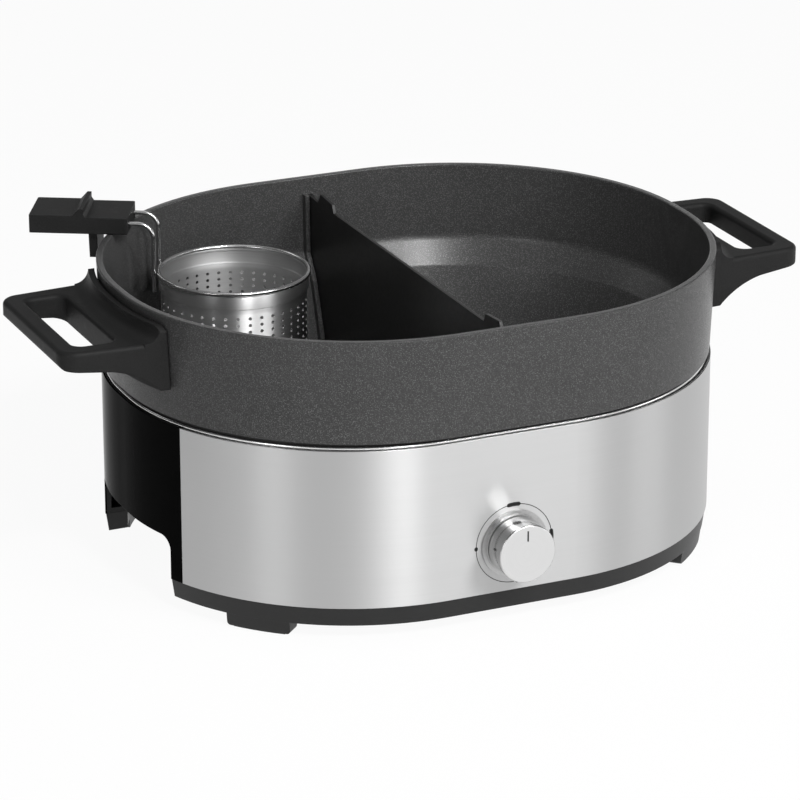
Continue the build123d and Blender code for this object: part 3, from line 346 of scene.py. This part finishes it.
# %% Smooth coat
def smooth_coat():
    coat = Finish("smooth_coat", {"Specular IOR Level": 0.30})
    film_noise = coat.noise(420.0, 3.0)
    drift = coat.noise(26.0, 2.0)
    coat.put("Base Color", coat.mix(drift, grey(0.010), grey(0.016)))
    coat.put("Roughness", 0.34 + film_noise * 0.12)
    coat.relief(film_noise, 0.22, 0.08 * MM, 0.5 * MM)
    return coat.material


dress(smooth_coat(), "divider_plate")

# %% [markdown]
# ## Moulded plastic
# Handles, the basket grip, the foot ring and the housing are moulded. The mould was spark-eroded,
# which leaves a fine even grain. One recipe serves them all, with its own lightness, roughness and
# grain for each, and a softened edge, because no moulded edge is as sharp as a solid's.

# %% Moulded plastics
def moulded(name, dark, light, rough, sheen, grain_scale, depth, edge):
    plastic = Finish(name, {"Specular IOR Level": sheen, "IOR": 1.49})
    grain = plastic.noise(grain_scale, 2.0)
    drift = plastic.noise(40.0, 2.0)
    rubbed = plastic.noise(180.0, 4.0)
    plastic.put("Base Color", plastic.mix(drift * 0.4 + grain * 0.6, grey(dark), grey(light)))
    plastic.put("Roughness", rough + grain * 0.14 - plastic.ramp(rubbed, 0.55, 0.8) * 0.06)
    plastic.relief(grain, 0.45, depth, edge)
    return plastic.material


handle_grain = moulded("handle_grain", dark=0.006, light=0.022, rough=0.46, sheen=0.12,
                       grain_scale=1300.0, depth=0.16 * MM, edge=1.0 * MM)
ring_grain = moulded("ring_grain", dark=0.010, light=0.015, rough=0.36, sheen=0.34,
                     grain_scale=1500.0, depth=0.07 * MM, edge=0.6 * MM)
housing_grain = moulded("housing_grain", dark=0.008, light=0.012, rough=0.44, sheen=0.3,
                        grain_scale=1200.0, depth=0.09 * MM, edge=0.5 * MM)
dress(handle_grain, "left_pot_handle", "right_pot_handle", "basket_grip")
dress(ring_grain, "front_ring", "rear_ring")
dress(housing_grain, "inner_shell", "bottom_cover", "top_collar", "thermostat_body", "cord_gland")

# %% [markdown]
# ## Rubber feet
# The pads are soft rubber: nearly black, dull, with a dusty bloom. Sheen would suit velvet
# better, so a rough surface with mottled lightness does it.

# %% Rubber
def pad_rubber():
    rubber = Finish("pad_rubber", {"Specular IOR Level": 0.3})
    bloom = rubber.noise(260.0, 4.0)
    rubber.put("Base Color", rubber.mix(bloom, grey(0.012), grey(0.032)))
    rubber.put("Roughness", 0.70 + bloom * 0.2)
    rubber.relief(bloom, 0.3, 0.1 * MM, 0.3 * MM)
    return rubber.material


dress(pad_rubber(), "foot_pads")

# %% [markdown]
# ## Brushed steel band
# The front and rear panels are sheet steel, brushed along their length before they were bent
# round the base. The brush lines are a noise squeezed hard in height and stretched along the
# panel. They vary the lightness and the roughness a little, and the shader's anisotropy does
# the rest: it draws each reflection out across the lines.

# %% Brushed steel
ACROSS_LINES = 0.25


def brushed_band():
    drawn_out = {"Metallic": 1.0, "Anisotropic": 0.88, "Anisotropic Rotation": ACROSS_LINES}
    steel = Finish("brushed_band", drawn_out)
    fine_lines = steel.noise(1.0, 3.0, steel.stretch(9.0, 9.0, 5200.0))
    broad_lines = steel.noise(1.0, 2.0, steel.stretch(4.0, 4.0, 900.0))
    handled = steel.noise(22.0, 3.0)
    lines = fine_lines * 0.75 + broad_lines * 0.25
    shade = steel.mix(lines, grey(0.50), grey(0.56))
    steel.put("Base Color", steel.mix(handled * 0.25, shade, (0.53, 0.535, 0.54, 1.0)))
    steel.put("Roughness", 0.34 + lines * 0.08 + handled * 0.03)
    steel.relief(lines, 0.05, 0.02 * MM, 0.35 * MM)
    return steel.material


dress(brushed_band(), "front_panel", "rear_panel")

# %% [markdown]
# ## Black end panels
# The two ends are deep black, with the arches that let a hand under the base. On a black this deep
# a full reflection of the pale floor would look grey, so the shader's reflection is set very low,
# and faint wiped smears in its roughness and a little dust keep it real.

# %% Black ends
def black_end():
    panel = Finish("black_end", {"Specular IOR Level": 0.005})
    smear = panel.noise(1.0, 3.0, panel.stretch(30.0, 30.0, 14.0))
    dust = panel.noise(1800.0, 1.0)
    panel.put("Base Color", panel.mix(panel.ramp(dust, 0.72, 0.8), grey(0.003), grey(0.008)))
    panel.put("Roughness", 0.12 + panel.ramp(smear, 0.45, 0.75) * 0.08)
    panel.relief(smear, 0.03, 0.2 * MM, 0.4 * MM)
    return panel.material


dress(black_end(), "left_end_panel", "right_end_panel")

# %% [markdown]
# ## Bright metal
# The trim line under the pot, the ring behind the knob, the basket's wires and the basket itself
# are bright stainless steel or chrome. A perfect mirror looks computed, so each has drawing
# marks: faint lines along the way it was rolled or spun, and a slightly uneven polish. The ring
# behind the knob is greyer than the trim.

# %% Trim, wires and small metal
def bright_metal(name, dark, light, rough, marks, scale, edge, drag=0.0):
    drawn_out = {"Metallic": 1.0, "Anisotropic": drag, "Anisotropic Rotation": ACROSS_LINES}
    metal = Finish(name, drawn_out)
    drawn = metal.noise(1.0, 3.0, metal.stretch(*marks))
    polish = metal.noise(scale, 2.0)
    metal.put("Base Color", metal.mix(drawn, grey(dark), grey(light)))
    metal.put("Roughness", rough + drawn * 0.10 + polish * 0.05)
    metal.relief(drawn, 0.08, 0.02 * MM, edge)
    return metal.material


trim_chrome = bright_metal("trim_chrome", dark=0.80, light=0.92, rough=0.12,
                           marks=(40.0, 40.0, 2400.0), scale=90.0, edge=0.15 * MM)
bezel_steel = bright_metal("bezel_steel", dark=0.40, light=0.52, rough=0.24,
                           marks=(500.0, 40.0, 500.0), scale=90.0, edge=0.15 * MM)
wire_steel = bright_metal("wire_steel", dark=0.52, light=0.66, rough=0.14,
                          marks=(300.0, 300.0, 300.0), scale=500.0, edge=0.1 * MM)
screw_steel = bright_metal("screw_steel", dark=0.34, light=0.52, rough=0.28,
                           marks=(700.0, 700.0, 700.0), scale=200.0, edge=0.2 * MM)
dress(trim_chrome, "trim_ring")
dress(bezel_steel, "knob_bezel")
dress(wire_steel, "basket_wires")
dress(screw_steel, "ring_screws", "cover_screws", "handle_screws", "bracket_screws")
dress(screw_steel, "knob_shaft", "fuse_strap")

# %% [markdown]
# ## Inside the base
# Under the pot lie a pressed aluminium tray, a tube heater, ceramic blocks and a bracket. They are
# seen when the pot is lifted. The heater has the straw and blue tints of steel that has glowed;
# the tray shows rolling marks; the ceramic is chalky and a little stained.

# %% Heater, tray and ceramic
def heated_tube():
    tube = Finish("heated_tube", {"Metallic": 1.0})
    tint = tube.noise(28.0, 3.0)
    scale = tube.noise(600.0, 4.0)
    straw, blue = (0.20, 0.17, 0.13, 1.0), (0.13, 0.14, 0.17, 1.0)
    tinted = tube.mix(tube.ramp(tint, 0.35, 0.65), straw, blue)
    tube.put("Base Color", tube.mix(scale * 0.5, tinted, grey(0.08)))
    tube.put("Roughness", 0.38 + scale * 0.25)
    tube.relief(scale, 0.3, 0.06 * MM)
    return tube.material


def chalky_ceramic():
    ceramic = Finish("chalky_ceramic", {"Specular IOR Level": 0.35})
    stain = ceramic.noise(120.0, 4.0)
    pores = ceramic.noise(1500.0, 2.0)
    stained, clean = (0.74, 0.72, 0.67, 1.0), (0.83, 0.82, 0.79, 1.0)
    ceramic.put("Base Color", ceramic.mix(stain, stained, clean))
    ceramic.put("Roughness", 0.62 + pores * 0.25)
    ceramic.relief(pores, 0.35, 0.1 * MM, 0.3 * MM)
    return ceramic.material


dress(heated_tube(), "heating_element")
tray_sheet = bright_metal("tray_sheet", dark=0.52, light=0.64, rough=0.34,
                          marks=(12.0, 900.0, 300.0), scale=60.0, edge=0.3 * MM)
dress(tray_sheet, "reflector_tray", "thermostat_bracket")
dress(chalky_ceramic(), "terminal_block", "thermal_fuse", "element_clips")

# %% [markdown]
# ## The knob
# The knob is one turned metal cap: a satin face with very fine turning rings, and a polished side.
# Both are the same solid, so the finish asks which way the surface looks: along the spindle it is
# the face, and across it the side. The turning rings follow the distance from the spindle.

# %% Knob metal
KNOB_HEIGHT = 47.6 * MM


def turned_knob():
    metal = Finish("turned_knob", {"Metallic": 1.0})
    x, y, z = metal.axes(metal.place)
    above = z - KNOB_HEIGHT
    reach = (x * x + above * above) ** 0.5
    facing = metal.axes(metal.node("NewGeometry", output="Normal"))[1]
    face = metal.ramp(facing * facing, 0.55, 0.9)
    around = metal.node("CombineXYZ", None, {0: reach * 5200.0, 1: y * 40.0, 2: 0.0})
    along = metal.node("CombineXYZ", None, {0: x * 60.0, 1: y * 2600.0, 2: z * 60.0})
    rings = metal.noise(1.0, 2.0, around)
    polish = metal.noise(1.0, 2.0, along)
    # The side is the same metal as the face, set darker: a painted dark reflection. Its polish noise is
    # uneven polish.
    side_painted_dark = metal.mix(polish, grey(0.46), grey(0.58))
    face_shade = metal.mix(rings, grey(0.66), grey(0.74))
    metal.put("Base Color", metal.mix(face, side_painted_dark, face_shade))
    metal.put("Roughness", 0.10 + polish * 0.05 + face * (0.24 + rings * 0.10))
    metal.relief(rings * face, 0.12, 0.03 * MM, 0.2 * MM)
    return metal.material


dress(turned_knob(), "control_knob")

# %% [markdown]
# ## Ink as thin mesh
# A texture could draw the marks round the knob, but a film of ink with a real edge stays sharp at
# any distance. So each mark is a thin closed slab that lies on the metal. The helpers below make
# the slab from an outline, and the outline of a curved bar with round ends.

# %% Ink and its outlines
CAP_STEPS = 6


def printed_ink():
    ink = Finish("printed_ink", {"Specular IOR Level": 0.4})
    wear = ink.noise(900.0, 3.0)
    ink.put("Base Color", ink.mix(wear, grey(0.006), grey(0.018)))
    ink.put("Roughness", 0.34 + wear * 0.2)
    ink.relief(wear, 0.1, 0.02 * MM)
    return ink.material


def clock_point(angle, radius):
    """Point on the panel round the spindle: 0 degrees to the right, 90 up."""
    turn = radians(angle)
    return radius * cos(turn), KNOB_HEIGHT + radius * sin(turn)


def film(bm, outline, front, back):
    """Closed thin slab from an outline of (x, z) points."""
    near = [bm.verts.new((x, front, z)) for x, z in outline]
    far = [bm.verts.new((x, back, z)) for x, z in outline]
    bm.faces.new(near)
    bm.faces.new(far[::-1])
    count = len(outline)
    for i in range(count):
        j = (i + 1) % count
        bm.faces.new((near[j], near[i], far[i], far[j]))


def band_cap(angle, radius, half_across, half_along):
    """Round end of a curved bar; the signs of the two halves say which end."""
    cx, cz = clock_point(angle, radius)
    turn = radians(angle)
    cap = []
    for k in range(1, CAP_STEPS):
        spread = radians(180 * k / CAP_STEPS)
        across = cos(spread) * half_across
        along = sin(spread) * half_along
        x = cx + across * cos(turn) - along * sin(turn)
        z = cz + across * sin(turn) + along * cos(turn)
        cap.append((x, z))
    return cap


def band_outline(start, end, width, radius, steps):
    """Outline of a curved bar with round ends."""
    outer, inner = [], []
    for i in range(steps + 1):
        angle = start + (end - start) * i / steps
        outer.append(clock_point(angle, radius + width / 2))
        inner.append(clock_point(angle, radius - width / 2))
    way = 1 if end > start else -1
    end_cap = band_cap(end, radius, width / 2, way * width / 2)
    start_cap = band_cap(start, radius, -width / 2, -way * width / 2)
    return outer + end_cap + inner[::-1] + start_cap


def finish_mesh(bm, name, material, body):
    """Turns a bmesh into a piece that rides on a body."""
    bmesh.ops.recalc_face_normals(bm, faces=bm.faces)
    mesh = bpy.data.meshes.new(name)
    bm.to_mesh(mesh)
    bm.free()
    piece = add_object(name, mesh)
    mesh.materials.append(material)
    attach(piece, body)
    print(name, len(mesh.polygons), "faces on", body)
    return piece


ink_finish = printed_ink()
print("ink:", ink_finish.name)

# %% [markdown]
# ## The printed dial
# Round the knob a thin line runs from the lowest point clockwise to the right, with a dot at its
# start and at the left, a bar at the top and a longer one at the right: off, low, middle and high.

# %% Dial ink
PANEL_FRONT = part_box("front_panel")[0].y
INK_FILM = 0.06 * MM
DIAL_RADIUS = 23.4 * MM
DIAL_MARKS = [
    # start and end in degrees, width, steps
    (270.0, 0.0, 0.42 * MM, 90),
    (276.0, 275.0, 2.0 * MM, 2),
    (180.5, 179.5, 2.2 * MM, 2),
    (98.5, 83.5, 2.4 * MM, 8),
    (9.0, -13.0, 2.4 * MM, 12),
]

dial_mesh = bmesh.new()
for start, end, width, steps in DIAL_MARKS:
    outline = band_outline(start, end, width, DIAL_RADIUS, steps)
    film(dial_mesh, outline, PANEL_FRONT - INK_FILM, PANEL_FRONT)
finish_mesh(dial_mesh, "dial_print", ink_finish, "base")

# %% [markdown]
# ## The pointer on the knob
# The solid knob has a shallow groove at twelve o'clock, filled with black paint that stays a hair
# below the face. A round-ended bar of paint fills it and turns with the knob.

# %% Pointer paint
POINTER_HALF = 0.46 * MM
POINTER_LOW = KNOB_HEIGHT + 7.6 * MM
POINTER_HIGH = KNOB_HEIGHT + 13.7 * MM
PAINT_TOP = 0.06 * MM
PAINT_FLOOR = 0.36 * MM
ARC_STEPS = 12

face_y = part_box("control_knob")[0].y
pointer_outline = []
for centre, begin in ((POINTER_HIGH - POINTER_HALF, 0.0), (POINTER_LOW + POINTER_HALF, pi)):
    for k in range(ARC_STEPS + 1):
        turn = begin + pi * k / ARC_STEPS
        pointer_outline.append((POINTER_HALF * cos(turn), centre + POINTER_HALF * sin(turn)))
pointer_mesh = bmesh.new()
film(pointer_mesh, pointer_outline, face_y + PAINT_TOP, face_y + PAINT_FLOOR)
finish_mesh(pointer_mesh, "pointer_paint", ink_finish, "knob")

# %% [markdown]
# ## Pierced sheet, woven from cells
# The solid cup has coarser holes than the real one. Cutting over four hundred round holes with
# booleans is slow and leaves poor meshes, so the sheet is woven from cells instead: each cell is a
# small rectangle of sheet with a sixteen-sided hole, and neighbours share their edges.

# %% Rings and cells
cup_low, cup_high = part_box("basket_cup")
CUP_X = (cup_low.x + cup_high.x) / 2
CUP_Y = (cup_low.y + cup_high.y) / 2
CUP_RIM = cup_high.z
CUP_COLUMNS = 38
CUP_STEPS = 2 * CUP_COLUMNS
CELL_CORNERS = 8
HOLE_SIDES = 2 * CELL_CORNERS


def cup_ring(bm, radius, z):
    """A ring of vertices round the cup's axis."""
    ring = []
    for k in range(CUP_STEPS):
        turn = 2 * pi * k / CUP_STEPS
        ring.append(bm.verts.new((CUP_X + radius * cos(turn), CUP_Y + radius * sin(turn), z)))
    return ring


def skin(bm, upper, lower):
    """Plain wall between two rings."""
    for k in range(CUP_STEPS):
        j = (k + 1) % CUP_STEPS
        bm.faces.new((upper[k], upper[j], lower[j], lower[k]))


def pierced(bm, upper, middle, lower, spot):
    """Wall of cells between three rings, with a hole in each; spot gives a point of the sheet."""
    for c in range(CUP_COLUMNS):
        k, m, n = 2 * c, 2 * c + 1, (2 * c + 2) % CUP_STEPS
        cell = [upper[n], upper[m], upper[k], middle[k], lower[k], lower[m], lower[n], middle[n]]
        angles = [radians(45 + 360 / HOLE_SIDES * i) for i in range(HOLE_SIDES)]
        hole = [bm.verts.new(spot(c, angle)) for angle in angles]
        for i in range(CELL_CORNERS):
            j = (i + 1) % CELL_CORNERS
            first, half, last = hole[2 * i], hole[2 * i + 1], hole[(2 * i + 2) % HOLE_SIDES]
            bm.faces.new((cell[i], cell[j], last, half))
            bm.faces.new((cell[i], half, first))


print("cells in a row:", CUP_COLUMNS)

# %% [markdown]
# ## The perforated basket
# The two drawn grooves under the rim and the rounded foot are rings of the same mesh as the woven
# wall and floor. A Solidify modifier gives the sheet its thickness towards the inside, and puts a
# second finish there: the inside is duller, and its darker colour is painted shade, as a cup sees
# mostly itself.

# %% Basket wall
CUP_WALL = 43.2 * MM
CUP_FOOT = 4.0 * MM
CUP_PROFILE = [
    # radius and drop below the rim, in mm
    (44.3, 1.4), (44.3, 2.5), (43.9, 2.9), (43.9, 3.2), (44.3, 3.6),
    (44.3, 10.4), (43.9, 11.2), (43.5, 11.6), (43.5, 12.0), (43.2, 12.6),
]
HOLE = 1.02 * MM
ROW = 4.1 * MM
FIRST_ROW = 17.0 * MM
ROWS = 8
FLOOR_HOLE = HOLE * 0.85
FLOOR_ROW = 4.6 * MM
FLOOR_ROWS = 4
FLOOR_CLEARANCE = 0.05 * MM
FLOOR_MIDDLE = ((18.0, 0.0), (16.5, 0.6), (6.0, 0.9))
BEND_STEPS = 6
SHEET = 0.8 * MM
SPUN_MARKS = (26.0, 26.0, 2800.0)


def basket_weave():
    bm = bmesh.new()
    rings = [cup_ring(bm, radius * MM, CUP_RIM - drop * MM) for radius, drop in CUP_PROFILE]
    rings.append(cup_ring(bm, CUP_WALL, CUP_RIM - FIRST_ROW + ROW / 2))
    for upper, lower in zip(rings, rings[1:]):
        skin(bm, upper, lower)
    upper = rings[-1]
    for row in range(ROWS):
        centre_z = CUP_RIM - FIRST_ROW - row * ROW
        middle = cup_ring(bm, CUP_WALL, centre_z)
        lower = cup_ring(bm, CUP_WALL, centre_z - ROW / 2)

        def wall_spot(column, angle):
            turn = 2 * pi * (2 * column + 1) / CUP_STEPS + HOLE * cos(angle) / CUP_WALL
            x, y = CUP_X + CUP_WALL * cos(turn), CUP_Y + CUP_WALL * sin(turn)
            return x, y, centre_z + HOLE * sin(angle)

        pierced(bm, upper, middle, lower, wall_spot)
        upper = lower
    base_z = cup_low.z + FLOOR_CLEARANCE
    floor_radius = CUP_WALL - CUP_FOOT
    for step in range(1, BEND_STEPS + 1):
        bend = radians(90 / BEND_STEPS * step)
        ring = cup_ring(bm, floor_radius + CUP_FOOT * cos(bend), base_z + CUP_FOOT - CUP_FOOT * sin(bend))
        skin(bm, upper, ring)
        upper = ring
    for row in range(FLOOR_ROWS):
        centre_r = floor_radius - (row + 0.5) * FLOOR_ROW
        middle = cup_ring(bm, centre_r, base_z)
        lower = cup_ring(bm, centre_r - FLOOR_ROW / 2, base_z)

        def floor_spot(column, angle):
            turn = 2 * pi * (2 * column + 1) / CUP_STEPS + FLOOR_HOLE * cos(angle) / centre_r
            reach = centre_r + FLOOR_HOLE * sin(angle)
            return CUP_X + reach * cos(turn), CUP_Y + reach * sin(turn), base_z

        pierced(bm, upper, middle, lower, floor_spot)
        upper = lower
    for reach, lift in FLOOR_MIDDLE:
        ring = cup_ring(bm, reach * MM, base_z + lift * MM)
        skin(bm, upper, ring)
        upper = ring
    bm.faces.new(upper[::-1])
    unused = [vert for vert in bm.verts if not vert.link_faces]
    bmesh.ops.delete(bm, geom=unused, context="VERTS")
    return bm


def smooth(piece, limit):
    """Smooth shading, with edges sharper than the limit kept crisp."""
    mesh = piece.data
    mesh.polygons.foreach_set("use_smooth", [True] * len(mesh.polygons))
    mesh.set_sharp_from_angle(angle=radians(limit))


basket_steel = bright_metal("basket_steel", dark=0.70, light=0.84, rough=0.40, marks=SPUN_MARKS,
                            scale=120.0, edge=0.12 * MM, drag=0.95)
# The inside is the same steel with a darker colour: painted shade inside the cup. Its higher roughness is
# real.
basket_inside_painted_shade = bright_metal("basket_inside_painted_shade", dark=0.34, light=0.46, rough=0.50, marks=SPUN_MARKS,
                             scale=120.0, edge=0.12 * MM, drag=0.6)
basket_wall = finish_mesh(basket_weave(), "basket_wall", basket_steel, "basket")
basket_wall.data.materials.append(basket_inside_painted_shade)
smooth(basket_wall, 40)
sheet = basket_wall.modifiers.new("sheet", "SOLIDIFY")
sheet.thickness = SHEET
sheet.offset = -1.0
sheet.material_offset = 1
sheet.material_offset_rim = 1
crease = basket_wall.modifiers.new("crease", "EDGE_SPLIT")
crease.split_angle = radians(35)
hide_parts("basket_cup")

# %% [markdown]
# ## The rolled rim
# The mouth of the cup is rolled outward into a bead. It is a piece of its own: a ring of small
# circles, in the same bright steel as the wires.

# %% Basket rim
BEAD_RADIUS = 44.3 * MM
BEAD_DROP = 1.4 * MM
BEAD_THICK = 1.38 * MM
BEAD_SIDES = 14


def rolled_rim():
    bm = bmesh.new()
    loops = []
    for k in range(BEAD_SIDES):
        turn = 2 * pi * k / BEAD_SIDES
        height = CUP_RIM - BEAD_DROP + BEAD_THICK * sin(turn)
        loops.append(cup_ring(bm, BEAD_RADIUS + BEAD_THICK * cos(turn), height))
    for k in range(BEAD_SIDES):
        skin(bm, loops[k], loops[(k + 1) % BEAD_SIDES])
    return bm


basket_rim = finish_mesh(rolled_rim(), "basket_rim", wire_steel, "basket")
smooth(basket_rim, 60)
